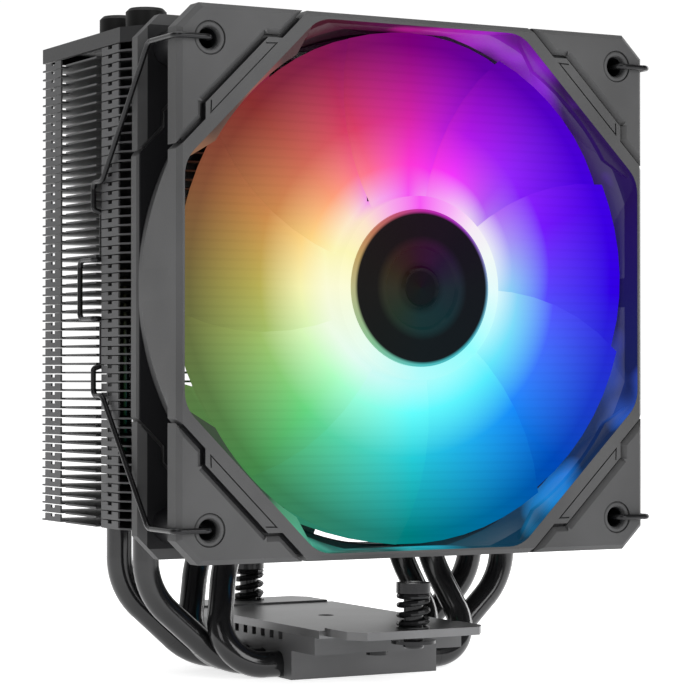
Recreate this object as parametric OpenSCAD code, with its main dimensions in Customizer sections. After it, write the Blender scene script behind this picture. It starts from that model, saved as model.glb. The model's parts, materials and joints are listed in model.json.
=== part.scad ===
// Tower cooler for a processor: a fin stack on four heat pipes, a direct-touch base, a sprung
// mounting bar and one lit axial fan held to the fins by two wire clips.
// Frame: +X right, -Y out of the fan's front, +Z up. The origin is the middle of the contact face.

/* [Fins] */
// Width of the fin stack, side to side
fin_w = 120; // [110:1:140]
// Depth of each fin, front to back
fin_depth = 51.1; // [44:0.1:70]
// Number of fins
fin_n = 53; // [20:1:60]
// Distance from one fin to the next
fin_pitch = 2.044; // [1.6:0.002:2.6]
// Thickness of one fin
fin_t = 0.4; // [0.3:0.05:0.6]
// Height of the lowest fin over the contact face
fin_z0 = 35.2; // [33:0.1:45]
// How far the middle of the fin stack sits behind the middle of the base
fin_y = 5.25; // [0:0.05:10]
// Length of each folded side tab
tab_len = 9.5; // [6:0.1:12]
// Width of the latch hole in each tab
tab_hole = 2.2; // [1:0.1:3]
// Height of the latch hole in each tab
tab_hole_h = 0.7; // [0.5:0.1:1]
// Height of the top cover
cover_h = 3.4; // [2:0.1:6]

/* [Heat pipes] */
// Diameter of a heat pipe
pipe_d = 6; // [5:0.1:6.2]
// Distance between neighbouring pipes in the base
pipe_pitch = 8.2; // [7.6:0.1:9]
// Distance between the two rows of pipe legs in the fins
leg_rows = 15; // [12:0.5:20]
// Half distance between the wide pair of legs
leg_wide_x = 48; // [46:0.5:50]
// Half distance between the narrow pair of legs
leg_narrow_x = 26; // [24:0.5:27]
// Height of a pipe cap over the top cover
cap_h = 6.4; // [4:0.1:8]
// Diameter of a pipe cap
cap_d = 9.4; // [8:0.1:11]

/* [Base] */
// Width of the base block
base_w = 38.4; // [34:0.2:42]
// Depth of the lower base block
base_d = 38; // [34:0.5:46]
// Height of the lower base block
base_h = 6.7; // [6.4:0.1:9]
// Depth of the upper base block
upper_d = 60.6; // [50:0.2:66]
// Height of the upper base block
upper_h = 3.9; // [3.4:0.1:6]
// Length of the mounting bar, front to back
bar_len = 92; // [88:1:110]
// Thickness of the mounting bar
bar_t = 1.8; // [1.5:0.1:3]
// Distance between the two sprung screws
screw_span = 82.4; // [78:0.2:96]
// Diameter of a screw's shank
shank_d = 4.4; // [4:0.1:4.4]
// Height of a compressed-on spring over the bar
spring_h = 7.9; // [7:0.1:12]

/* [Fan] */
// Side of the square fan
fan_w = 120; // [120:1:120]
// Thickness of the fan
fan_t = 25; // [25:0.5:30]
// Height of the fan's lower edge over the contact face
fan_z0 = 29; // [28:0.5:40]
// Distance between the fan's corner holes
hole_span = 105; // [105:0.5:105]
// Diameter of the impeller over its blade tips
tip_d = 115; // [104:0.5:115.4]
// Diameter of the impeller's hub
hub_d = 41.2; // [38:0.2:46]
// Number of blades
blade_n = 9; // [5:1:13]
// Diameter of the clip wire
wire_d = 1.2; // [1:0.1:1.6]

/* [Hidden] */
fine = 72;
small = 40;
slip = 0.05;
run_gap = 0.02;
clear = 0.4;
fin_top = fin_z0 + fin_n * fin_pitch;
cover_top = fin_top + cover_h;
fin_front = fin_y - fin_depth / 2;
fin_rear = fin_y + fin_depth / 2;
fan_y = fin_front - fan_t;
fan_z = fan_z0 + fan_w / 2;
row_rear = fin_y + leg_rows / 2;
row_front = fin_y - leg_rows / 2;
nose = 5.6;
nose_in = 3;
tab_front_y0 = fin_front + 6.3;
tab_front_y1 = tab_front_y0 + tab_len;
tab_rear_y1 = fin_rear - 1.8;
tab_rear_y0 = tab_rear_y1 - tab_len;
tab_gap = 0.22;
notch_len = 3;
notch_in = 1.9;
pipe_r = pipe_d / 2;
pipe_z = pipe_r + 0.1;
base_top = base_h + upper_h;
bar_top = base_top + bar_t;
base_screw_x = base_w / 2 - 3.6;
base_screw_y = (1.5 * pipe_pitch + pipe_r + slip + base_d / 2) / 2;
base_screw_r = 1.1;
plate_screw_y = (base_d + upper_d) / 4;
tongue_lift = 0.5;
tongue_top = bar_top + tongue_lift;
tongue_y = upper_d / 2 + 2.1;
screw_y = screw_span / 2;
head_r = 3.875;
head_z = tongue_top + spring_h;
head_h = 2.3;
tip_z = base_top - 2.15;
tip_r = shank_d / 2 + 0.2;
neck_r = shank_d / 2 - 0.4;
thread_r = 1.25;
thread_len = 8;
clip_z = base_top - 1.1;
clip_t = 0.8;
washer_t = 0.4;
spring_wire = 1.3;
spring_r = shank_d / 2 + spring_wire / 2 + 0.35;
spring_turns = 3.9;
half = fan_w / 2;
hole_x = hole_span / 2;
flange_front = 5.2;
flange_rear = 4;
duct_r = half - 2;
bore_r = 2.2;
tube_r = 3.7;
web_t = 1.6;
pad_gap = 0.78;
pad_cut = 5.3;
edge_cut = 1.1;
mouth_w = half - 1.6;
mouth_s = 84.6;
mouth_r = 8;
hub_r = hub_d / 2;
blade_tip_r = tip_d / 2;
shaft_r = 1.5;
wire_r = wire_d / 2;
side_x = half + clear + wire_r;
hook_x = fin_w / 2 - notch_in + wire_r + 0.4;
hook_y = tab_front_y1 + 1.8;

// ---------- shared shapes ----------

module cyl(r, z0, z1, n = small) {
    translate([0, 0, z0])
        cylinder(h = z1 - z0, r = r, $fn = n);
}

module block(x0, x1, y0, y1, z0, z1) {
    translate([x0, y0, z0])
        cube([x1 - x0, y1 - y0, z1 - z0]);
}

module ring(ro, ri, z0, z1, n = small) {
    difference() {
        cyl(ro, z0, z1, n);
        cyl(ri, z0 - 1, z1 + 1, n);
    }
}

function unit(v) = v / norm(v);
function turn(a, b) = acos(max(-1, min(1, a * b)));
function square_to(z) = abs(z[2]) < 0.9 ? unit(cross([0, 0, 1], z)) : unit(cross([1, 0, 0], z));

module rod_run(a, b, r) {
    z = unit(b - a);
    x = square_to(z);
    y = cross(z, x);
    multmatrix([[x[0], y[0], z[0], a[0]], [x[1], y[1], z[1], a[1]], [x[2], y[2], z[2], a[2]], [0, 0, 0, 1]])
        cylinder(h = norm(b - a), r = r, $fn = small);
}

module rod_bend(c, n, t, angle, bend, r) {
    a = cross(n, t);
    multmatrix([[n[0], t[0], a[0], c[0]], [n[1], t[1], a[1], c[1]], [n[2], t[2], a[2], c[2]], [0, 0, 0, 1]])
        rotate_extrude(angle = angle, $fn = fine)
            translate([bend, 0])
                circle(r = r, $fn = small);
}

// A round rod through the corners p, each rounded to the radius in q. The bends are thicker than
// the straights by a hair, and each straight runs a short way into its bends.
module bent_rod(p, q, r) {
    swell = 0.03;
    last = len(p) - 1;
    u = [for (i = [0:last - 1]) unit(p[i + 1] - p[i])];
    ang = [for (i = [0:last]) (i == 0 || i == last) ? 0 : turn(u[i - 1], u[i])];
    cut = [for (i = [0:last]) q[i] * tan(ang[i] / 2) - sqrt(0.8 * q[i] * swell)];
    for (i = [0:last - 1])
        rod_run(p[i] + u[i] * cut[i], p[i + 1] - u[i] * cut[i + 1], r);
    for (i = [1:last - 1]) {
        side = unit(u[i] - (u[i] * u[i - 1]) * u[i - 1]);
        back = q[i] * tan(ang[i] / 2);
        rod_bend(p[i] - u[i - 1] * back + side * q[i], -side, u[i - 1], ang[i], q[i], r + swell);
    }
}

module legs(r, z0, z1) {
    for (x = [-leg_wide_x, -leg_narrow_x, leg_narrow_x, leg_wide_x], y = [row_front, row_rear])
        translate([x, y, 0])
            cyl(r, z0, z1);
}

function plan(w, y0, y1) = [[-w / 2, y0 + nose], [-w / 2 + nose_in, y0], [w / 2 - nose_in, y0],
    [w / 2, y0 + nose], [w / 2, y1], [-w / 2, y1]];

// ---------- base ----------

module pipe_slot(y, gap) {
    translate([-base_w / 2 - 1, y, pipe_z])
        rotate([0, 90, 0])
            cylinder(h = base_w + 2, r = pipe_r + gap, $fn = small);
    block(-base_w / 2 - 1, base_w / 2 + 1, y - pipe_r + 0.1 - gap, y + pipe_r - 0.1 + gap, -1, pipe_z);
}

module base_block() {
    color([0.16, 0.16, 0.17])
        difference() {
            block(-base_w / 2, base_w / 2, -base_d / 2, base_d / 2, 0, base_h);
            for (k = [-1.5, -0.5, 0.5, 1.5])
                pipe_slot(k * pipe_pitch, slip);
            for (x = [-1, 1], y = [-1, 1])
                translate([x * base_screw_x, y * base_screw_y, 0]) {
                    cyl(base_screw_r + slip, -1, base_h + 1);
                    cyl(base_screw_r + 0.4 + slip, -1, 1.6);
                }
        }
}

module base_screws() {
    color([0.3, 0.3, 0.32])
        for (x = [-1, 1], y = [-1, 1])
            translate([x * base_screw_x, y * base_screw_y, 0])
                difference() {
                    union() {
                        cyl(base_screw_r + 0.4, 0.2, 1.6);
                        cyl(base_screw_r, 1.6, base_h + 2.2);
                    }
                    translate([0, 0, -1])
                        cylinder(h = 2.1, r = 0.8, $fn = 6);
                }
}

module upper_block() {
    color([0.14, 0.14, 0.15])
        difference() {
            block(-base_w / 2, base_w / 2, -upper_d / 2, upper_d / 2, base_h, base_top);
            for (k = [-3:3])
                block(-base_w / 2 - 1, base_w / 2 + 1, k * 4.5 - 1, k * 4.5 + 1, base_top - 1.8, base_top + 1);
            for (x = [-1, 1], y = [-1, 1])
                translate([x * base_screw_x, y * base_screw_y, 0])
                    cyl(base_screw_r + slip, base_h - 1, base_h + 2.3);
            for (y = [-1, 1])
                translate([0, y * plate_screw_y, 0])
                    cyl(1.5 + slip, base_h - 1, base_top + 1);
        }
}

module tongue_plan() {
    end_y = bar_len / 2;
    polygon([[-17.4, tongue_y - 0.8], [-17.4, end_y - 4], [-14.5, end_y], [14.5, end_y],
        [17.4, end_y - 4], [17.4, tongue_y - 0.8]]);
}

module mounting_bar() {
    color([0.3, 0.3, 0.31])
        difference() {
            union() {
                block(-base_w / 2, base_w / 2, -tongue_y, tongue_y, base_top, bar_top);
                for (a = [0, 180])
                    rotate([0, 0, a])
                        translate([0, 0, base_top + tongue_lift])
                            linear_extrude(bar_t)
                                tongue_plan();
            }
            for (y = [-1, 1])
                translate([0, y * screw_y, 0])
                    cyl(shank_d / 2 + 0.5, base_top - 1, tongue_top + 1);
            for (y = [-1, 1])
                translate([0, y * plate_screw_y, 0])
                    cyl(1.5 + slip, base_top - 1, base_top + 1.3);
            cyl(1.9, bar_top - 0.6, bar_top + 1);
        }
}

// The bar is held from below by two pan-head screws through the upper block.
module plate_screws() {
    color([0.34, 0.34, 0.36])
        for (y = [-1, 1])
            translate([0, y * plate_screw_y, 0])
                difference() {
                    union() {
                        cyl(1.5, base_h - 0.1, base_top + 1.2);
                        cyl(2.5, base_h - 1.3, base_h);
                    }
                    block(-1.6, 1.6, -0.3, 0.3, base_h - 2, base_h - 0.7);
                    block(-0.3, 0.3, -1.6, 1.6, base_h - 2, base_h - 0.7);
                }
}

// ---------- heat pipes ----------

// The part of a pipe pressed flat against the processor.
module pipe_foot(y) {
    block(-base_w / 2, base_w / 2, y - pipe_r + 0.1, y + pipe_r - 0.1, 0, pipe_z);
}

module heat_pipe_wide(yb, yr) {
    top = cover_top + cap_h - 1.8;
    color([0.08, 0.08, 0.09]) {
        bent_rod([[-leg_wide_x, yr, top], [-leg_wide_x, yr, 20.1], [-29.1, yb, pipe_z],
            [29.1, yb, pipe_z], [leg_wide_x, yr, 20.1], [leg_wide_x, yr, top]],
            [0, 16, 18, 18, 16, 0], pipe_r);
        pipe_foot(yb);
    }
}

module heat_pipe_narrow(yb, yr) {
    top = cover_top + cap_h - 1.8;
    color([0.08, 0.08, 0.09]) {
        bent_rod([[-leg_narrow_x, yr, top], [-leg_narrow_x, yr, 31.5], [-28.3, yr, 24],
            [-34.8, yb, pipe_z], [34.8, yb, pipe_z], [28.3, yr, 24], [leg_narrow_x, yr, 31.5],
            [leg_narrow_x, yr, top]],
            [0, 12, 18, 9, 9, 18, 12, 0], pipe_r);
        pipe_foot(yb);
    }
}

module heat_pipe_wide_rear() heat_pipe_wide(1.5 * pipe_pitch, row_rear);

module heat_pipe_narrow_rear() heat_pipe_narrow(0.5 * pipe_pitch, row_rear);

module heat_pipe_wide_front() heat_pipe_wide(-0.5 * pipe_pitch, row_front);

module heat_pipe_narrow_front() heat_pipe_narrow(-1.5 * pipe_pitch, row_front);

module pipe_caps() {
    top = cover_top + cap_h;
    color([0.07, 0.07, 0.08])
        for (x = [-leg_wide_x, -leg_narrow_x, leg_narrow_x, leg_wide_x], y = [row_front, row_rear])
            translate([x, y, 0])
                difference() {
                    union() {
                        cyl(cap_d / 2, cover_top, top - 0.8, fine);
                        translate([0, 0, top - 0.8])
                            cylinder(h = 0.8, r1 = cap_d / 2, r2 = cap_d / 2 - 0.8, $fn = fine);
                    }
                    cyl(pipe_r + slip, cover_top - 1, top - 1.7);
                }
}

// ---------- fins ----------

module fin_tabs(z) {
    for (s = [-1, 1], y = [tab_front_y0, tab_rear_y0])
        difference() {
            block(s * fin_w / 2 - (s + 1) * fin_t / 2, s * fin_w / 2 - (s - 1) * fin_t / 2,
                y, y + tab_len, z, z + fin_pitch - tab_gap);
            translate([0, y + tab_len / 2 - tab_hole / 2, z + fin_pitch - tab_gap - tab_hole_h])
                block(-fin_w, fin_w, 0, tab_hole, 0, tab_hole_h + 1);
        }
}

module fins() {
    color([0.2, 0.2, 0.21])
        difference() {
            for (i = [0:fin_n - 1])
                union() {
                    translate([0, 0, fin_z0 + i * fin_pitch])
                        linear_extrude(fin_t)
                            polygon(plan(fin_w, fin_front, fin_rear));
                    fin_tabs(fin_z0 + i * fin_pitch);
                }
            legs(pipe_r + slip, fin_z0 - 1, fin_top + 1);
            for (s = [-1, 1], y = [tab_front_y1, tab_rear_y0 - notch_len])
                block(s * fin_w / 2 - notch_in, s * fin_w / 2 + notch_in, y, y + notch_len,
                    fin_z0 - 1, fin_top + 1);
        }
}

module top_cover() {
    lid = 1.2;
    wall = 1;
    color([0.13, 0.13, 0.14])
        difference() {
            translate([0, 0, fin_top])
                linear_extrude(cover_h)
                    polygon(plan(fin_w, fin_front, fin_rear));
            translate([0, 0, fin_top - 1])
                linear_extrude(cover_h - lid + 1)
                    polygon(plan(fin_w - 2 * wall, fin_front + wall, fin_rear - wall));
            legs(pipe_r + slip, fin_top, cover_top + 1);
        }
}

// ---------- fan ----------

// Local axes: z runs from the fan's front face to its rear, x to the right.
module in_fan() {
    translate([0, fan_y, fan_z])
        rotate([-90, 0, 0])
            children();
}

// The stepped line between frame and corner pad, moved away from the pad by g.
function pad_a(g) = 30.3 + 1.414 * g;
function pad_b(g) = 5.7 + g;
function pad_s(g) = fan_w - 26.8 - 1.414 * g;
function pad_line(g) = [[half - pad_a(g), half], [half - pad_a(g) + pad_b(g), half - pad_b(g)],
    [pad_s(g) - half + pad_b(g), half - pad_b(g)], [half - pad_b(g), pad_s(g) - half + pad_b(g)],
    [half - pad_b(g), half - pad_a(g) + pad_b(g)], [half, half - pad_a(g)]];

// The pad's outline.
function pad_edge() = concat(pad_line(0), [[half, half - pad_cut], [half - pad_cut, half]]);

// Bevels c wide along the pad's front edges; the two hollow corners end the cuts short.
module pad_bevels(c) {
    o = pad_edge();
    reach = [c, c, 0, 0, c, c, c, c];
    for (i = [0:7]) {
        p = o[i];
        d = o[(i + 1) % 8] - p;
        e = reach[(i + 1) % 8];
        translate([p[0], p[1], 0])
            rotate([0, 0, atan2(d[1], d[0])])
                translate([-reach[i], 0, 0])
                    rotate([45, 0, 0])
                        translate([0, -0.7071 * c, -0.7071 * c])
                            cube([norm(d) + reach[i] + e, 1.4142 * c, 1.4142 * c]);
    }
}

module corner_out(g, z0, z1) {
    translate([0, 0, z0])
        linear_extrude(z1 - z0)
            polygon(concat(pad_line(g), [[half + 1, half - pad_a(g)], [half + 1, half + 1],
                [half - pad_a(g), half + 1]]));
}

module four_corners() {
    for (a = [0:90:270])
        rotate([0, 0, a])
            children();
}

module frame_web(g, z0, z1) {
    e = 1.6 - g;
    translate([0, 0, z0])
        linear_extrude(z1 - z0)
            polygon([[half - 34, half - e], [half - pad_cut - 0.6 * e, half - e],
                [half - e, half - pad_cut - 0.6 * e], [half - e, half - 34], [half - 22, half - 22]]);
}

function arc8(c, r, a0, a1) = [for (i = [0:6]) let (a = a0 + (a1 - a0) * i / 6)
    [c[0] + r * cos(a), c[1] + r * sin(a)]];

// The front opening: an octagon w half wide, its slanted sides s from corner to corner, rounded to r.
function mouth_quarter(w, s, r) = let (c = [w - r, s - w - r * 0.4142])
    concat(arc8(c, r, 0, 45), arc8([c[1], c[0]], r, 45, 90));
function turned(p, a) = [for (v = p) [v[0] * cos(a) - v[1] * sin(a), v[0] * sin(a) + v[1] * cos(a)]];
function mouth(w, s, r) = concat(mouth_quarter(w, s, r), turned(mouth_quarter(w, s, r), 90),
    turned(mouth_quarter(w, s, r), 180), turned(mouth_quarter(w, s, r), 270));

module bell(w, s, r, r1, r2, z0, z1) {
    intersection() {
        translate([0, 0, z0])
            linear_extrude(z1 - z0)
                polygon(mouth(w, s, r));
        translate([0, 0, z0 - 0.5])
            cylinder(h = z1 - z0 + 1, r1 = r1, r2 = r2, $fn = 2 * fine);
    }
}

module edge_cuts(z, c) {
    for (a = [0:90:270])
        rotate([0, 0, a])
            translate([half, 0, z])
                rotate([0, 45, 0])
                    cube([1.4142 * c, fan_w + 4, 1.4142 * c], center = true);
}

module frame_core() {
    difference() {
        union() {
            block(-half, half, -half, half, 0, flange_front);
            block(-half, half, -half, half, fan_t - flange_rear, fan_t);
            cyl(half, 0, fan_t, 2 * fine);
            bell(half - 0.1, mouth_s + 2, mouth_r + 1, half + 6, half - 1, flange_front - 1, fan_t - flange_rear);
        }
        four_corners() {
            corner_out(pad_gap, -1, flange_front + 0.001);
            corner_out(pad_gap, fan_t - flange_rear - 0.001, fan_t + 1);
        }
        cyl(duct_r, -1, fan_t + 1, 2 * fine);
        bell(mouth_w, mouth_s, mouth_r, half + 4.2, half - 2.8, -1, fan_t - flange_rear - 1);
        four_corners()
            translate([0, 0, -1])
                linear_extrude(1.3)
                    polygon([[39.2, 52.35], [36.2, 52.45], [52.45, 36.2], [52.35, 39.2],
                        [52.05, 39.2], [52.1, 36.95], [36.95, 52.1], [39.2, 52.05]]);
        edge_cuts(0, edge_cut);
        edge_cuts(fan_t - flange_rear, edge_cut * 0.6);
        edge_cuts(fan_t, edge_cut * 0.6);
    }
}

module fan_frame() {
    color([0.25, 0.25, 0.26])
        in_fan() {
            frame_core();
            four_corners()
                difference() {
                    union() {
                        frame_web(0, 1.8, 1.8 + web_t);
                        frame_web(0, fan_t - 1.2 - web_t, fan_t - 1.2);
                        translate([hole_x, hole_x, 0])
                            cyl(tube_r, 2, fan_t - 1.4);
                    }
                    cyl(duct_r + 1, -1, fan_t + 1, 2 * fine);
                    translate([hole_x, hole_x, 0])
                        cyl(bore_r, -1, fan_t + 1);
                }
            difference() {
                union() {
                    for (a = [20:90:290])
                        rotate([0, 0, a])
                            block(hub_r - 2, duct_r + 1, -2, 2, fan_t - 3.4, fan_t);
                    rotate([0, 0, 110])
                        block(hub_r - 2, duct_r + 1, -4, 4, fan_t - 3.4, fan_t);
                    cyl(hub_r + 0.4, fan_t - 4.4, fan_t, fine);
                }
                cyl(hub_r - 0.8, fan_t - 5, fan_t - 2.2, fine);
                cyl(17, fan_t - 0.4, fan_t + 1, fine);
                rotate([0, 0, 110])
                    block(hub_r - 3, duct_r - 2, -2.6, 2.6, fan_t - 1.6, fan_t + 1);
            }
            difference() {
                cyl(5.2, fan_t - 3.6, fan_t - 2.2);
                cyl(4.1 + slip, fan_t - 5, fan_t - 2.2);
            }
            rotate([0, 0, 110])
                difference() {
                    block(duct_r + 1, half + 1.2, -4, 4, fan_t - 8.5, fan_t - flange_rear);
                    block(duct_r - 2, half + 3, -2, 2, fan_t - 6.8, fan_t - flange_rear - 1);
                }
        }
}

// One corner pad at +x +y, its bevelled face at z = 0, t thick, gripping the frame's web.
module pad(t, web_z) {
    difference() {
        linear_extrude(t)
            polygon(pad_edge());
        pad_bevels(edge_cut);
        frame_web(slip, web_z - slip, web_z + web_t + slip);
        translate([0, 0, web_z - slip])
            linear_extrude(web_t + 2 * slip)
                polygon([[half - 40, half - 1.6 + slip], [half - 28, half - 1.6 + slip],
                    [half - 1.6 + slip, half - 28], [half - 1.6 + slip, half - 40], [half - 40, half - 40]]);
        translate([hole_x, hole_x, 0]) {
            cyl(bore_r + 0.2, -1, t + 1);
            cyl(tube_r + slip, web_z, t + 1);
            cyl(3.7, -1, 0.7);
        }
    }
    translate([hole_x, hole_x, 0])
        rotate_extrude($fn = small)
            translate([3.02, 0.6])
                circle(r = 0.54, $fn = 24);
}

module front_pad(a) {
    color([0.2, 0.2, 0.21])
        in_fan()
            rotate([0, 0, a])
                pad(flange_front, 1.8);
}

module rear_pad(a) {
    color([0.2, 0.2, 0.21])
        in_fan()
            rotate([0, 0, a])
                translate([0, 0, fan_t])
                    mirror([0, 0, 1])
                        pad(flange_rear, 1.2);
}

module pad_front_bottom_right() front_pad(0);

module pad_front_bottom_left() front_pad(90);

module pad_front_top_left() front_pad(180);

module pad_front_top_right() front_pad(270);

module pad_rear_bottom_right() rear_pad(0);

module pad_rear_bottom_left() rear_pad(90);

module pad_rear_top_left() rear_pad(180);

module pad_rear_top_right() rear_pad(270);

module bearing_tube() {
    color([0.7, 0.58, 0.3])
        in_fan()
            ring(4.1, 3.4, 7, fan_t - 2.25);
}

module sleeve_bearing() {
    color([0.55, 0.42, 0.25])
        in_fan()
            ring(3.4, shaft_r + run_gap, 7.4, 18.6);
}

module stator_core() {
    color([0.4, 0.4, 0.42])
        in_fan()
            difference() {
                union() {
                    cyl(6.6, 9, 15, small);
                    for (a = [0:90:270])
                        rotate([0, 0, a]) {
                            block(4.6, 13, -1.8, 1.8, 9, 15);
                            intersection() {
                                ring(14.1, 12.3, 9, 15, fine);
                                block(8, 16, -8.4, 8.4, 8, 16);
                            }
                        }
                }
                cyl(4.1 + slip, 8, 16);
            }
}

module stator_bobbin() {
    color([0.85, 0.83, 0.78])
        in_fan()
            for (z = [8.2, 15])
                difference() {
                    union() {
                        cyl(6.8, z, z + 0.8);
                        for (a = [0:90:270])
                            rotate([0, 0, a])
                                block(5, 12.6, -3.4, 3.4, z, z + 0.8);
                    }
                    cyl(4.1 + slip, z - 1, z + 2);
                }
}

module stator_coils() {
    color([0.7, 0.35, 0.15])
        in_fan()
            for (a = [0:90:270])
                rotate([0, 0, a])
                    difference() {
                        block(7, 11.3, -4.3, 4.3, 7.2, 16.8);
                        block(6, 13, -3.5, 3.5, 8.1, 15.9);
                    }
}

module circuit_board() {
    color([0.05, 0.2, 0.1])
        in_fan()
            ring(19.6, 5.4, fan_t - 4.4, fan_t - 3.4, fine);
}

module light_diodes() {
    color([0.95, 0.95, 0.9])
        in_fan()
            for (a = [0:45:315])
                rotate([0, 0, a + 10])
                    block(17.4, 19, -1.4, 1.4, fan_t - 5, fan_t - 4.4);
}

module rear_label() {
    color([0.1, 0.1, 0.1])
        in_fan()
            cyl(16.9, fan_t - 0.4, fan_t - 0.1, fine);
}

// Blade stations: k runs from the root to the tip, u along the chord from front to rear.
blade_k = 6;
blade_u = 12;
function blade_r(k) = hub_r - 0.6 + (blade_tip_r - hub_r + 0.6) * k / blade_k;
function blade_a(k, u) = 14 * pow(k / blade_k, 1.5) + (360 / blade_n + 13 + 12 * k / blade_k) * u / blade_u;
function blade_z(k, u) = let (v = u / blade_u) 4.6 + 0.6 * k / blade_k
    + (10.4 + 1.6 * k / blade_k) * (0.3 * v + 0.7 * pow(v, 4));
function blade_t(k, u) = 0.7 + 0.9 * sin(180 * u / blade_u);
function blade_p(k, u, s) = [blade_r(k) * cos(blade_a(k, u)), blade_r(k) * sin(blade_a(k, u)),
    blade_z(k, u) + s * blade_t(k, u) / 2];
function blade_i(k, u, s) = (s * (blade_k + 1) + k) * (blade_u + 1) + u;

module blade() {
    polyhedron(
        points = [for (s = [0, 1], k = [0:blade_k], u = [0:blade_u]) blade_p(k, u, 2 * s - 1)],
        faces = concat(
            [for (k = [0:blade_k - 1], u = [0:blade_u - 1])
                [blade_i(k, u, 0), blade_i(k + 1, u, 0), blade_i(k + 1, u + 1, 0)]],
            [for (k = [0:blade_k - 1], u = [0:blade_u - 1])
                [blade_i(k, u, 0), blade_i(k + 1, u + 1, 0), blade_i(k, u + 1, 0)]],
            [for (k = [0:blade_k - 1], u = [0:blade_u - 1])
                [blade_i(k, u, 1), blade_i(k + 1, u + 1, 1), blade_i(k + 1, u, 1)]],
            [for (k = [0:blade_k - 1], u = [0:blade_u - 1])
                [blade_i(k, u, 1), blade_i(k, u + 1, 1), blade_i(k + 1, u + 1, 1)]],
            [for (u = [0:blade_u - 1])
                [blade_i(0, u, 0), blade_i(0, u + 1, 0), blade_i(0, u + 1, 1), blade_i(0, u, 1)]],
            [for (u = [0:blade_u - 1])
                [blade_i(blade_k, u, 0), blade_i(blade_k, u, 1), blade_i(blade_k, u + 1, 1), blade_i(blade_k, u + 1, 0)]],
            [for (k = [0:blade_k - 1])
                [blade_i(k, 0, 0), blade_i(k, 0, 1), blade_i(k + 1, 0, 1), blade_i(k + 1, 0, 0)]],
            [for (k = [0:blade_k - 1])
                [blade_i(k, blade_u, 0), blade_i(k + 1, blade_u, 0), blade_i(k + 1, blade_u, 1), blade_i(k, blade_u, 1)]]));
}

module impeller() {
    color([0.9, 0.9, 0.95, 0.6])
        in_fan() {
            for (i = [0:blade_n - 1])
                rotate([0, 0, i * 360 / blade_n])
                    blade();
            difference() {
                cyl(hub_r, 1.1, fan_t - 5.2, fine);
                cyl(hub_r - 2.6, 3.2, fan_t, fine);
                cyl(hub_r - 2.9, 0, 1.7, fine);
                cyl(3.2, 0, fan_t);
            }
        }
}

module hub_cap() {
    color([0.09, 0.09, 0.1])
        in_fan()
            rotate_extrude($fn = fine)
                polygon([[0, 0.7], [3.8, 0.7], [4.4, 0.2], [5, 0.9], [8.8, 0.9], [9.4, 0.1], [hub_r - 3.6, 0.1],
                    [hub_r - 3, 0.6], [hub_r - 3, 1.7], [0, 1.7]]);
}

module rotor_yoke() {
    color([0.5, 0.5, 0.52])
        in_fan()
            difference() {
                union() {
                    ring(hub_r - 2.6, hub_r - 3.4, 3.2, fan_t - 6, fine);
                    cyl(hub_r - 2.6, 3.2, 4, fine);
                    cyl(3.2, 1.8, 6.4);
                }
                cyl(shaft_r, 1, 8);
            }
}

module magnet_ring() {
    color([0.12, 0.12, 0.12])
        in_fan()
            ring(hub_r - 3.4, hub_r - 5.4, 6.6, 17.4, fine);
}

module fan_shaft() {
    color([0.75, 0.75, 0.78])
        in_fan()
            difference() {
                cyl(shaft_r, 1.9, 21.6);
                ring(shaft_r + 1, 1.1, 19.6, 20.3);
            }
}

module shaft_ring() {
    color([0.85, 0.85, 0.8])
        in_fan()
            difference() {
                cyl(2.8, 19.65, 20.25);
                cyl(1.12, 19, 21);
                block(0, 4, -0.8, 0.8, 19, 21);
            }
}

// ---------- wire clips ----------

// Corners of one half of a clip, from the leg in the fan's hole to the handle's end.
function clip_half(sx, sz) = [
    [sx * hole_x, fan_y + 5, fan_z + sz * hole_x],
    [sx * hole_x, fan_y - 0.9, fan_z + sz * hole_x],
    [sx * side_x, fan_y - 0.9, fan_z + sz * hole_x],
    [sx * side_x, fan_y + 13, fan_z + sz * hole_x],
    [sx * side_x, hook_y - 4.6, fan_z + sz * 24.1],
    [sx * side_x, hook_y + 0.4, fan_z + sz * 24.1],
    [sx * side_x, hook_y + 0.4, fan_z + sz * 18],
    [sx * hook_x, hook_y, fan_z + sz * 17.3],
    [sx * hook_x, hook_y, fan_z + sz * 6.7],
    [sx * side_x, hook_y, fan_z + sz * 6.7],
    [sx * side_x, hook_y + 8.2, fan_z + sz * 6.7]];

module wire_clip(sx) {
    up = clip_half(sx, 1);
    down = clip_half(sx, -1);
    n = len(up);
    q = [0, 1.6, 1.6, 3, 3, 1.6, 0.8, 0.8, 0.8, 0.8, 1.6];
    color([0.1, 0.1, 0.11])
        bent_rod(concat(up, [for (i = [0:n - 1]) down[n - 1 - i]]),
            concat(q, [for (i = [0:n - 1]) q[n - 1 - i]]), wire_r);
}

module clip_left() wire_clip(-1);

module clip_right() wire_clip(1);

// ---------- sprung screws ----------

module spring_screw() {
    color([0.1, 0.1, 0.11])
        difference() {
            union() {
                cyl(head_r, head_z, head_z + head_h, fine);
                cyl(shank_d / 2, clip_z + clip_t, head_z + 0.5);
                cyl(neck_r, clip_z - 0.3, clip_z + clip_t + 0.1);
                cyl(tip_r, tip_z + 0.3, clip_z - 0.2);
                translate([0, 0, tip_z])
                    cylinder(h = 0.3, r1 = tip_r - 0.3, r2 = tip_r, $fn = small);
            }
            cyl(thread_r, tip_z - 1, tip_z + thread_len);
            block(-2.3, 2.3, -0.5, 0.5, head_z + 0.9, head_z + 4);
            block(-0.5, 0.5, -2.3, 2.3, head_z + 0.9, head_z + 4);
        }
}

module e_clip() {
    color([0.15, 0.15, 0.16])
        difference() {
            cyl(5, clip_z + slip, clip_z + clip_t - slip);
            cyl(neck_r + run_gap, clip_z - 1, clip_z + 2);
            block(-1.2, 1.2, 0, 6, clip_z - 1, clip_z + 2);
        }
}

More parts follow.
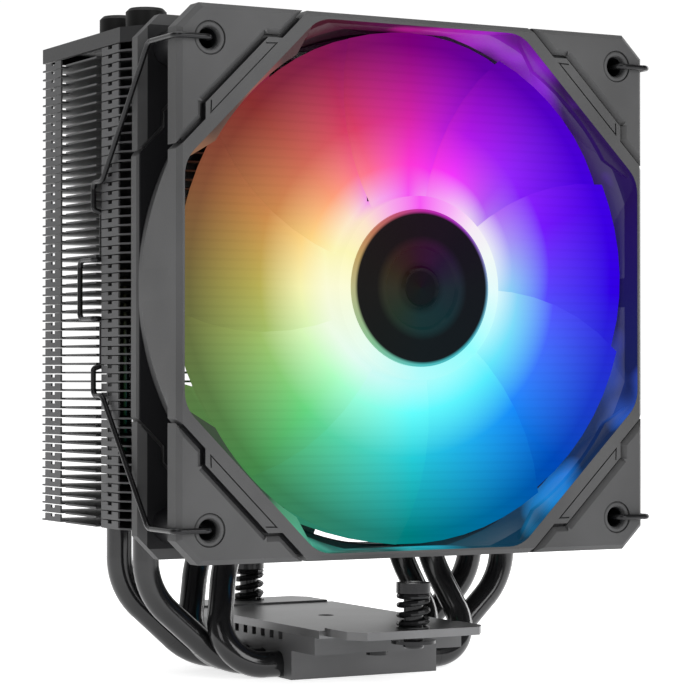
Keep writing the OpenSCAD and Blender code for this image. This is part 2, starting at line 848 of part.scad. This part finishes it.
module screw_washer() {
    color([0.2, 0.2, 0.21])
        ring(3.9, shank_d / 2 + 0.4, tongue_top, tongue_top + washer_t);
}

helix_n = 14;
helix_m = 8;
helix_z = spring_h - washer_t - spring_wire - 0.02;
helix_count = round(spring_turns * helix_n);
helix_flat = helix_n * 0.6;
function helix_rise(i) = max(0, min(1, (i - helix_flat) / (helix_count - 2 * helix_flat)));
function helix_a(i) = 360 * i / helix_n;
function helix_p(i, j) = let (c = spring_r + spring_wire / 2 * cos(360 * j / helix_m)) [c * cos(helix_a(i)),
    c * sin(helix_a(i)), tongue_top + washer_t + 0.01 + spring_wire / 2 + helix_z * helix_rise(i)
    + spring_wire / 2 * sin(360 * j / helix_m)];

module coil_spring() {
    m = helix_m;
    color([0.1, 0.1, 0.11])
        polyhedron(
            points = [for (i = [0:helix_count], j = [0:m - 1]) helix_p(i, j)],
            faces = concat(
                [for (i = [0:helix_count - 1], j = [0:m - 1])
                    [i * m + j, i * m + (j + 1) % m, (i + 1) * m + (j + 1) % m]],
                [for (i = [0:helix_count - 1], j = [0:m - 1])
                    [i * m + j, (i + 1) * m + (j + 1) % m, (i + 1) * m + j]],
                [[for (j = [0:m - 1]) m - 1 - j]],
                [[for (j = [0:m - 1]) helix_count * m + j]]));
}

module at_screw(s) {
    translate([0, s * screw_y, 0])
        children();
}

module spring_screw_front() at_screw(-1) spring_screw();

module spring_front() at_screw(-1) coil_spring();

module e_clip_front() at_screw(-1) e_clip();

module screw_washer_front() at_screw(-1) screw_washer();

module spring_screw_rear() at_screw(1) spring_screw();

module spring_rear() at_screw(1) coil_spring();

module e_clip_rear() at_screw(1) rotate([0, 0, 180]) e_clip();

module screw_washer_rear() at_screw(1) screw_washer();

base_block();
upper_block();
mounting_bar();
base_screws();
plate_screws();
heat_pipe_wide_rear();
heat_pipe_wide_front();
heat_pipe_narrow_rear();
heat_pipe_narrow_front();
fins();
top_cover();
pipe_caps();
fan_frame();
pad_front_top_left();
pad_front_top_right();
pad_front_bottom_left();
pad_front_bottom_right();
pad_rear_top_left();
pad_rear_top_right();
pad_rear_bottom_left();
pad_rear_bottom_right();
bearing_tube();
sleeve_bearing();
stator_core();
stator_bobbin();
stator_coils();
circuit_board();
light_diodes();
rear_label();
impeller();
hub_cap();
rotor_yoke();
magnet_ring();
fan_shaft();
shaft_ring();
clip_left();
clip_right();
spring_screw_front();
spring_front();
e_clip_front();
screw_washer_front();
spring_screw_rear();
spring_rear();
e_clip_rear();
screw_washer_rear();
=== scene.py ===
"""Looks for the tower cooler: materials, soft light and the camera."""
import json
import math

import bpy
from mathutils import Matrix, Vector


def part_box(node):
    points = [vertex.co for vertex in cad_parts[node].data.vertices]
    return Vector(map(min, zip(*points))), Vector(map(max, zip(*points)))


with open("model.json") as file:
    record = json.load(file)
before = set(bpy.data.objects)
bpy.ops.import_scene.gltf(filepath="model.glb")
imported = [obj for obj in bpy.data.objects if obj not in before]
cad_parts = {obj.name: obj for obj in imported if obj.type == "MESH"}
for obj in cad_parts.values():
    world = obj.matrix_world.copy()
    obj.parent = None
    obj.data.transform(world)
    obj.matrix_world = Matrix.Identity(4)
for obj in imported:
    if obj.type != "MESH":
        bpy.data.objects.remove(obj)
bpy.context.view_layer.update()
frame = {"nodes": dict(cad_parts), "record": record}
nodes = frame["nodes"]

FAN_LOW, FAN_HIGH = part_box("fan_frame")
FAN_X = 0.0
FAN_Y = FAN_LOW.y
FAN_Z = (FAN_LOW.z + FAN_HIGH.z) / 2
FIN_PITCH = 0.002044
BLACK = (0.0, 0.0, 0.0)

# Depths behind the fan's front face, and distances from its axis, in metres.
FACE_SKIN = 0.0001
FLANGE_FRONT = 0.0053
FLANGE_REAR = 0.0212
POCKET_DEPTH = 0.012
MOUTH_HALF = 0.0587
PAD_HALF = 0.0576
OCTAGON = 0.0852
DUCT_R = 0.0585
CONE_R = 0.0691
CONE_SLOPE = 0.443
POCKET_R = 0.0565

# The world's brightness by kind of ray, and the lie of its reflected gradient.
WORLD_DIFFUSE = 0.42
WORLD_CAMERA = 1.05
MIRROR_FROM = (0.15, 0.75)
MIRROR_TO = (0.12, 0.8)
FLOOR_HALF = 6
FLOOR_GLOW = 0.75
CREASE_DEGREES = 30


# ---------- node helpers ----------

class Tree:
    """A small wrapper that adds and links shader nodes, in a new material or an earlier one."""

    def __init__(self, name, mat=None):
        if mat:
            self.mat, self.nt = mat, mat.node_tree
            self.bsdf = next(n for n in self.nt.nodes if n.type == "BSDF_PRINCIPLED")
            return
        self.mat = bpy.data.materials.new(name)
        self.mat.use_nodes = True
        self.nt = self.mat.node_tree
        self.nt.nodes.clear()
        self.out = self.nt.nodes.new("ShaderNodeOutputMaterial")
        self.bsdf = self.nt.nodes.new("ShaderNodeBsdfPrincipled")
        self.nt.links.new(self.bsdf.outputs[0], self.out.inputs[0])

    def add(self, kind, **values):
        n = self.nt.nodes.new(kind)
        for k, v in values.items():
            setattr(n, k, v)
        return n

    def link(self, a, b):
        self.nt.links.new(a, b)

    def math(self, op, a, b=None, clamp=False):
        n = self.add("ShaderNodeMath", operation=op, use_clamp=clamp)
        for i, v in enumerate((a, b)):
            if v is None:
                continue
            if isinstance(v, (int, float)):
                n.inputs[i].default_value = v
            else:
                self.link(v, n.inputs[i])
        return n.outputs[0]

    def coords(self, scale=(1, 1, 1)):
        tc = self.add("ShaderNodeTexCoord")
        mp = self.add("ShaderNodeMapping")
        mp.inputs["Scale"].default_value = scale
        self.link(tc.outputs["Object"], mp.inputs["Vector"])
        return mp.outputs["Vector"]

    def noise(self, scale, detail=4.0, rough=0.55, stretch=(1, 1, 1)):
        n = self.add("ShaderNodeTexNoise")
        n.inputs["Scale"].default_value = scale
        n.inputs["Detail"].default_value = detail
        n.inputs["Roughness"].default_value = rough
        self.link(self.coords(stretch), n.inputs["Vector"])
        return n.outputs[0]

    def ramp(self, fac, stops):
        n = self.add("ShaderNodeValToRGB")
        els = n.color_ramp.elements
        while len(els) < len(stops):
            els.new(0.5)
        for el, (pos, col) in zip(els, stops):
            el.position = pos
            el.color = (*col, 1) if len(col) == 3 else col
        self.link(fac, n.inputs[0])
        return n.outputs[0]

    def mix(self, fac, a, b, blend="MIX"):
        n = self.add("ShaderNodeMix", data_type="RGBA", blend_type=blend)
        for sock, v in ((n.inputs[0], fac), (n.inputs[6], a), (n.inputs[7], b)):
            if isinstance(v, (int, float)):
                sock.default_value = v
            elif isinstance(v, tuple):
                sock.default_value = (*v, 1)
            else:
                self.link(v, sock)
        return n.outputs[2]

    def bump(self, height, strength, distance):
        n = self.add("ShaderNodeBump")
        n.inputs["Strength"].default_value = strength
        n.inputs["Distance"].default_value = distance
        self.link(height, n.inputs["Height"])
        self.link(n.outputs[0], self.bsdf.inputs["Normal"])


def surface(name, base, rough, metal=0.0, grain=900.0, grain_h=0.00002, stretch=(1, 1, 1),
            tone=0.18, rough_var=0.12, coat=0.0, spec=0.5):
    """A painted, plated or moulded surface with fine grain, uneven gloss and a slight tone shift."""
    t = Tree(name)
    fine = t.noise(grain, 5, 0.6, stretch)
    broad = t.noise(38, 3, 0.5)
    dark = tuple(c * (1 - tone) for c in base)
    light = tuple(min(1, c * (1 + tone)) for c in base)
    t.link(t.ramp(broad, [(0.3, dark), (0.7, light)]), t.bsdf.inputs["Base Color"])
    r = t.math("MULTIPLY_ADD", fine, rough_var)
    r.node.inputs[2].default_value = rough - rough_var / 2
    t.link(r, t.bsdf.inputs["Roughness"])
    t.bsdf.inputs["Metallic"].default_value = metal
    t.bsdf.inputs["Coat Weight"].default_value = coat
    t.bsdf.inputs["Coat Roughness"].default_value = 0.12
    t.bsdf.inputs["Specular IOR Level"].default_value = spec
    t.bump(fine, 0.5, grain_h)
    return t.mat


# Colours of the glow by turn (from the right, anticlockwise as seen from the front),
# at four distances from the fan's axis in metres.
TURNS = (0.0, 0.0625, 0.125, 0.1875, 0.25, 0.3125, 0.375, 0.4375, 0.5, 0.625, 0.75, 0.875, 1.0)
GLOW = [
    (0.0215, ((0.8, 1, 1), (0.92, 0.98, 0.97), (0.95, 0.85, 0.95), (0.95, 0.4, 0.95), (0.95, 0.1, 0.92),
              (0.96, 0.4, 0.85), (1, 0.8, 0.62), (1, 0.95, 0.5), (1, 1, 0.7), (0.8, 1, 0.9),
              (0.45, 1, 1), (0.3, 1, 1))),
    (0.028, ((0.27, 0.65, 0.95), (0.4, 0.33, 0.95), (0.5, 0.09, 0.95), (0.93, 0.04, 1), (1, 0.04, 0.68),
             (1, 0.16, 0.3), (1, 0.36, 0.2), (1, 0.68, 0.24), (0.95, 0.92, 0.45), (0.42, 1, 0.55),
             (0.13, 1, 1), (0.1, 0.85, 1))),
    (0.038, ((0.1, 0.06, 1), (0.18, 0.01, 1), (0.3, 0.02, 1), (0.45, 0.01, 0.82), (0.7, 0.02, 0.4),
             (0.72, 0.05, 0.14), (0.65, 0.15, 0.1), (0.62, 0.28, 0.08), (0.5, 0.45, 0.1),
             (0.14, 0.7, 0.23), (0.02, 0.62, 0.7), (0.01, 0.27, 1))),
    (0.055, ((0.03, 0, 0.8), (0.05, 0, 0.78), (0.08, 0, 0.6), (0.12, 0, 0.38), (0.2, 0, 0.2),
             (0.23, 0.01, 0.08), (0.25, 0.03, 0.03), (0.24, 0.09, 0.04), (0.17, 0.15, 0.05),
             (0.06, 0.25, 0.07), (0, 0.22, 0.22), (0, 0.07, 0.5)))]


def polar(t):
    """The turn round the fan's axis (0 to 1), the distance from it in metres, and the split place."""
    sep = t.add("ShaderNodeSeparateXYZ")
    t.link(t.coords(), sep.inputs[0])
    dx = t.math("SUBTRACT", sep.outputs["X"], FAN_X)
    dz = t.math("SUBTRACT", sep.outputs["Z"], FAN_Z)
    turn = t.math("DIVIDE", t.math("ARCTAN2", dz, dx), 2 * math.pi)
    turn = t.math("FRACT", t.math("ADD", turn, 1.0))
    rad = t.math("SQRT", t.math("ADD", t.math("MULTIPLY", dx, dx), t.math("MULTIPLY", dz, dz)))
    return turn, rad, sep


def span(t, value, low, high):
    """Maps value from low..high to 0..1, held at the ends."""
    n = t.add("ShaderNodeMapRange", clamp=True)
    n.inputs["From Min"].default_value = low
    n.inputs["From Max"].default_value = high
    t.link(value, n.inputs["Value"])
    return n.outputs[0]


def glow_colour(t, turn, rad):
    col = None
    for (near, _), (far, ring) in zip([(0, None)] + GLOW, GLOW):
        step = t.ramp(turn, list(zip(TURNS, ring + ring[:1])))
        col = step if col is None else t.mix(span(t, rad, near, far), col, step)
    return col


def blades_material():
    t = Tree("frosted_blades")
    turn, rad, sep = polar(t)
    col = glow_colour(t, turn, rad)
    haze = t.noise(45, 3, 0.5)
    col = t.mix(t.math("MULTIPLY", haze, 0.1), col, BLACK)
    # Painted shade: faint darker lines at the fin pitch, away from the hub. They stand in for the fins
    # behind showing dark through the frosted blades.
    lines = t.math("SINE", t.math("MULTIPLY", sep.outputs["Z"], 2 * math.pi / FIN_PITCH))
    painted_fin_shade = t.math("MULTIPLY", t.math("GREATER_THAN", lines, 0.55), 0.045)
    col = t.mix(t.math("MULTIPLY", painted_fin_shade, span(t, rad, 0.028, 0.045)), col, BLACK)
    # Painted glow: the blades emit the hub LEDs' light themselves. It is white near the hub and grows
    # darker and more saturated towards the tips.
    t.link(col, t.bsdf.inputs["Emission Color"])
    t.bsdf.inputs["Emission Strength"].default_value = 0.97
    t.link(t.mix(0.96, col, BLACK), t.bsdf.inputs["Base Color"])
    r = t.math("MULTIPLY_ADD", haze, 0.1)
    r.node.inputs[2].default_value = 0.45
    t.link(r, t.bsdf.inputs["Roughness"])
    t.bsdf.inputs["Specular IOR Level"].default_value = 0.0
    t.bump(t.noise(1400, 3, 0.5), 0.2, 0.00001)
    return t.mat


def cap_material():
    """Near-black gloss, with a painted reflection of the glow on its edge and in its dished middle."""
    t = Tree("cap_plastic")
    turn, rad, _ = polar(t)
    low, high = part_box("hub_cap")
    r = (high.x - low.x) / 2
    # Painted reflection: emission in the glow's colours appears as a glint round the edge and as a sheen
    # ring in the dished middle. There is also a faint glow over the whole cap.
    near = t.ramp(turn, list(zip(TURNS, GLOW[1][1] + GLOW[1][1][:1])))
    painted_rim_glint = t.math("MULTIPLY", span(t, rad, r - 0.0011, r - 0.0004), 0.5)
    ring = t.math("SUBTRACT", span(t, rad, 0.0117, 0.0098), span(t, rad, 0.0062, 0.0035))
    painted_dish_sheen = t.math("MULTIPLY", t.math("MAXIMUM", ring, 0.0), 0.022)
    level = t.math("ADD", t.math("ADD", painted_rim_glint, painted_dish_sheen), 0.005)
    t.link(near, t.bsdf.inputs["Emission Color"])
    t.link(level, t.bsdf.inputs["Emission Strength"])
    t.bsdf.inputs["Base Color"].default_value = (0.003, 0.0025, 0.004, 1)
    fine = t.noise(1500, 4, 0.5)
    g = t.math("MULTIPLY_ADD", fine, 0.08)
    g.node.inputs[2].default_value = 0.2
    t.link(g, t.bsdf.inputs["Roughness"])
    t.bsdf.inputs["Specular IOR Level"].default_value = 0.05
    t.bump(fine, 0.3, 0.000006)
    return t.mat


def fan_plastic(name, base, rough, pad):
    """Matt moulded grey, glossier inside the duct and between the flanges, where painted shade turns it
    near-black; the frame also gets a painted reflection of the fan's glow in its corner pockets.
    """
    mat = surface(name, base, rough, 0.0, 1700 if not pad else 1900, 0.00003, spec=0.22)
    t = Tree(name, mat)
    turn, rad, sep = polar(t)
    side = t.math("SUBTRACT", sep.outputs["X"], FAN_X)
    rise = t.math("SUBTRACT", sep.outputs["Z"], FAN_Z)
    dx = t.math("ABSOLUTE", side)
    dz = t.math("ABSOLUTE", rise)
    m = t.math("MAXIMUM", dx, dz)
    depth = t.math("SUBTRACT", sep.outputs["Y"], FAN_Y)
    between = t.math("MULTIPLY", t.math("GREATER_THAN", depth, FLANGE_FRONT),
                     t.math("LESS_THAN", depth, FLANGE_REAR))
    # Painted shade: the mask below marks where the base colour turns near-black. On the pads this is
    # between the flanges; on the frame it is inside the duct and between the flanges.
    if pad:
        painted_shade_mask = t.math("MULTIPLY", between, t.math("LESS_THAN", m, PAD_HALF))
    else:
        inside = t.math("MULTIPLY", t.math("LESS_THAN", m, MOUTH_HALF),
                        t.math("GREATER_THAN", depth, FACE_SKIN))
        inside = t.math("MULTIPLY", inside, t.math("LESS_THAN", depth, FLANGE_REAR))
        cone = t.math("SUBTRACT", CONE_R, t.math("MULTIPLY", depth, CONE_SLOPE))
        on_cone = t.math("MULTIPLY", t.math("GREATER_THAN", rad, DUCT_R), t.math("LESS_THAN", rad, cone))
        off = t.math("SUBTRACT", 1.0, t.math("MULTIPLY", on_cone, between))
        painted_shade_mask = t.math("MULTIPLY", t.math("MAXIMUM", inside, between), off)
        # Painted reflection: the corner pockets inside the octagon emit the fan's glow colour in uneven
        # patches. This stands in for its light caught on their walls.
        octagon = t.math("LESS_THAN", t.math("ADD", dx, dz), OCTAGON)
        painted_glow = t.math("MULTIPLY", t.math("MULTIPLY", inside, octagon),
                     t.math("MULTIPLY", t.math("GREATER_THAN", rad, POCKET_R),
                            t.math("LESS_THAN", depth, POCKET_DEPTH)))
        # The painted glow reflection lies only on faces that look at the axis or out of the front.
        facing = t.add("ShaderNodeSeparateXYZ")
        t.link(t.add("ShaderNodeNewGeometry").outputs["Normal"], facing.inputs[0])
        outward = t.math("ADD", t.math("MULTIPLY", facing.outputs["X"], side),
                         t.math("MULTIPLY", facing.outputs["Z"], rise))
        painted_glow = t.math("MULTIPLY", painted_glow, t.math("LESS_THAN", outward, 0.02))
        painted_glow = t.math("MULTIPLY", painted_glow, t.math("LESS_THAN", facing.outputs["Y"], 0.5))
        painted_glow_patches = t.math("ADD", span(t, t.noise(45, 2, 0.4), 0.5, 0.68), 0.12)
        near = t.ramp(turn, list(zip(TURNS, GLOW[2][1] + GLOW[2][1][:1])))
        t.link(near, t.bsdf.inputs["Emission Color"])
        t.link(t.math("MULTIPLY", t.math("MULTIPLY", painted_glow, painted_glow_patches), 0.55), t.bsdf.inputs["Emission Strength"])
    # Painted shade: near-black base colour over the masked region, which is also made glossier.
    old = t.bsdf.inputs["Base Color"].links[0].from_socket
    t.link(t.mix(painted_shade_mask, old, (0.009, 0.009, 0.01)), t.bsdf.inputs["Base Color"])
    gloss = t.bsdf.inputs["Roughness"].links[0].from_socket
    t.link(t.math("SUBTRACT", gloss, t.math("MULTIPLY", painted_shade_mask, 0.14)), t.bsdf.inputs["Roughness"])
    return mat


LOOKS = {
    "base_metal": surface("base_metal", (0.1, 0.1, 0.102), 0.38, 0.4, 1500, 0.00001, (1, 12, 1)),
    "plate_metal": surface("plate_metal", (0.17, 0.17, 0.172), 0.33, 0.85, 1300, 0.00001, (1, 10, 1)),
    "steel": surface("steel", (0.25, 0.25, 0.26), 0.3, 0.9),
    "pipe": surface("pipe", (0.012, 0.012, 0.013), 0.17, 0.3, 500, 0.000012, coat=0.35),
    "caps": surface("caps", (0.006, 0.006, 0.006), 0.5, 0.0, 900, 0.00001, spec=0.15),
    "fin_metal": surface("fin_metal", (0.052, 0.052, 0.054), 0.45, 0.25, 1100, 0.00001, (1, 1, 6)),
    "cover": surface("cover", (0.011, 0.011, 0.012), 0.42, 0.15, 1400, 0.00001),
    "frame_plastic": fan_plastic("frame_plastic", (0.066, 0.066, 0.067), 0.46, False),
    "pad_rubber": fan_plastic("pad_rubber", (0.068, 0.068, 0.069), 0.58, True),
    "bronze": surface("bronze", (0.5, 0.36, 0.16), 0.35, 1.0),
    "core_steel": surface("core_steel", (0.3, 0.3, 0.31), 0.4, 1.0),
    "bobbin": surface("bobbin", (0.75, 0.72, 0.66), 0.5),
    "winding": surface("winding", (0.5, 0.18, 0.06), 0.35, 0.9, 1400, 0.00006, (1, 14, 1)),
    "board": surface("board", (0.02, 0.12, 0.05), 0.4),
    "diode": surface("diode", (0.9, 0.9, 0.85), 0.3),
    "label": surface("label", (0.05, 0.05, 0.05), 0.6),
    "cap_plastic": cap_material(),
    "magnet": surface("magnet", (0.04, 0.04, 0.04), 0.7),
    "wire": surface("wire", (0.012, 0.012, 0.013), 0.24, 0.5, 900, 0.00001),
    "dark_steel": surface("dark_steel", (0.014, 0.014, 0.015), 0.22, 0.5, 900, 0.00001),
    "clear_plastic": blades_material(),
}

slot_of = {s["node"]: s["material_slot"] for s in frame["record"]["subparts"]}


def smooth(obj):
    """Shades an object smooth except over sharp edges."""
    mesh = obj.data
    for name in ("custom_normal", "sharp_edge"):
        if name in mesh.attributes:
            mesh.attributes.remove(mesh.attributes[name])
    mesh.polygons.foreach_set("use_smooth", [True] * len(mesh.polygons))
    mesh.set_sharp_from_angle(angle=math.radians(CREASE_DEGREES))


for name, obj in nodes.items():
    obj.data.materials.clear()
    obj.data.materials.append(LOOKS[slot_of[name]])
    smooth(obj)


# ---------- stage ----------

def mesh_object(name, verts, faces):
    me = bpy.data.meshes.new(name)
    me.from_pydata(verts, [], faces)
    me.update()
    ob = bpy.data.objects.new(name, me)
    bpy.context.scene.collection.objects.link(ob)
    return ob


floor = mesh_object("floor", [(x * FLOOR_HALF, y * FLOOR_HALF, 0)
                              for x, y in ((-1, -1), (1, -1), (1, 1), (-1, 1))], [(0, 1, 2, 3)])
ft = Tree("floor_paint")
ft.link(ft.ramp(ft.noise(2.0, 2), [(0.3, (0.88, 0.88, 0.88)), (0.7, (0.9, 0.9, 0.9))]),
        ft.bsdf.inputs["Base Color"])
ft.bsdf.inputs["Roughness"].default_value = 0.7
ft.bsdf.inputs["Emission Color"].default_value = (1, 1, 1, 1)
ft.bsdf.inputs["Emission Strength"].default_value = FLOOR_GLOW
floor.data.materials.append(ft.mat)

world = bpy.data.worlds.new("studio")
bpy.context.scene.world = world
world.use_nodes = True
back = world.node_tree.nodes["Background"]
back.inputs[0].default_value = (1, 1, 1, 1)
wn = world.node_tree.nodes
wl = world.node_tree.links
path = wn.new("ShaderNodeLightPath")
way = wn.new("ShaderNodeTexCoord")
part = wn.new("ShaderNodeSeparateXYZ")
wl.new(way.outputs["Generated"], part.inputs[0])
drop = wn.new("ShaderNodeMapRange")
drop.inputs["From Min"].default_value, drop.inputs["From Max"].default_value = MIRROR_FROM
drop.inputs["To Min"].default_value, drop.inputs["To Max"].default_value = MIRROR_TO
wl.new(part.outputs["Y"], drop.inputs["Value"])
level = None
for ray, here in (("Is Glossy Ray", drop.outputs[0]), ("Is Camera Ray", WORLD_CAMERA)):
    pick = wn.new("ShaderNodeMix")
    if level is None:
        pick.inputs[2].default_value = WORLD_DIFFUSE
        wl.new(here, pick.inputs[3])
    else:
        wl.new(level, pick.inputs[2])
        pick.inputs[3].default_value = here
    wl.new(path.outputs[ray], pick.inputs[0])
    level = pick.outputs[0]
wl.new(level, back.inputs[1])
bpy.context.scene.view_settings.view_transform = "Standard"


def area_light(name, place, target, size, power):
    data = bpy.data.lights.new(name, "AREA")
    data.shape = "RECTANGLE"
    data.size, data.size_y = size
    data.energy = power
    ob = bpy.data.objects.new(name, data)
    bpy.context.scene.collection.objects.link(ob)
    ob.location = place
    ob.rotation_euler = (Vector(target) - Vector(place)).to_track_quat("-Z", "Y").to_euler()
    return ob


area_light("key_left", (-0.75, -0.6, 0.55), (0, 0, 0.08), (0.35, 0.7), 1.6)
area_light("front_soft", (0.25, -1.0, 0.45), (0, 0, 0.08), (0.6, 0.5), 4)
area_light("rim_right", (0.8, 0.1, 0.35), (0, 0, 0.08), (0.3, 0.6), 2.5)
area_light("top", (0.0, 0.1, 0.9), (0, 0, 0.1), (0.6, 0.6), 3)

cam_data = bpy.data.cameras.new("camera")
cam_data.sensor_width = 36
cam_data.lens = 129.8
cam_data.clip_start = 0.01
camera = bpy.data.objects.new("camera", cam_data)
bpy.context.scene.collection.objects.link(camera)
camera.location = (-0.2858, -0.5299, 0.0691)
camera.rotation_euler = (math.radians(90.615), 0, math.radians(-28.883))
bpy.context.scene.camera = camera
